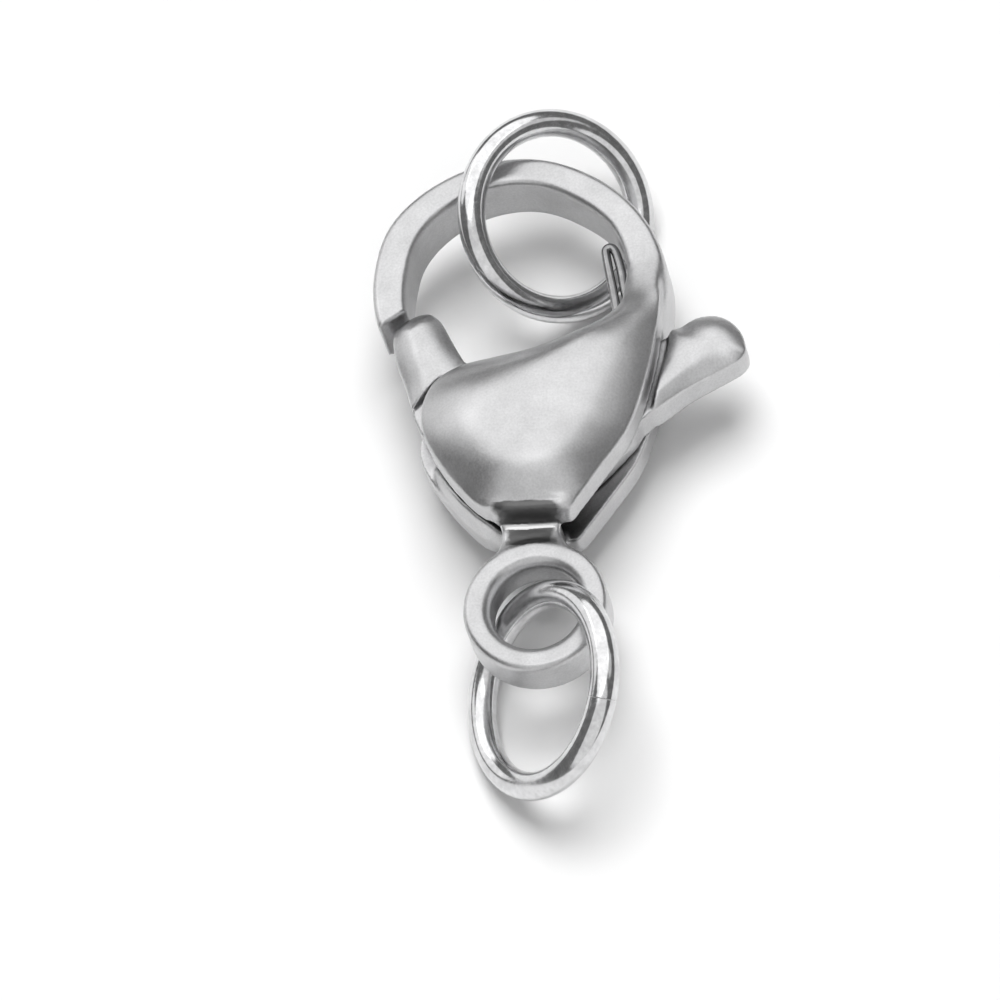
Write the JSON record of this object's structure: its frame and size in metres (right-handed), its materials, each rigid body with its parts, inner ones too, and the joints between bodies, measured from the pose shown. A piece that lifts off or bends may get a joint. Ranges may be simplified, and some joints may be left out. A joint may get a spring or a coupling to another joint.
{
  "type": "lobster clasp",
  "caption": "Small cast lobster clasp with a puffed body, a sprung lever that is gate and thumb tab in one, and jump rings in its hook and its end eye",
  "frame": {"origin": "on the lever's pivot axis, at the flat on the back that the clasp lies on", "axes": "+Z out of the front cheek along the pivot axis, +Y from the end eye to the hook, +X to the side of the thumb tab"},
  "size_m": [0.0065, 0.0127, 0.003],
  "materials": {
    "satin_steel": "tumbled stainless steel with a soft satin sheen and bright worn edges",
    "polished_steel": "polished stainless steel wire",
    "spring_steel": "drawn stainless spring wire, bright"
  },
  "bodies": {
    "clasp": {"clasp_body": "satin_steel", "pivot_pin": "polished_steel", "lever_spring": "spring_steel", "hook_ring": "polished_steel", "eye_ring": "polished_steel"},
    "lever": {"lever": "satin_steel"}
  },
  "joints": [
    {"name": "lever_pivot", "type": "hinge", "parent": "clasp", "child": "lever", "pos_m": [0, 0, 0], "axis": [0, 0, -1], "range_deg": [0, 18], "stiffness_Nm_per_rad": 0.002, "springref_deg": -34.38, "deforming": ["lever_spring"]}
  ]
}
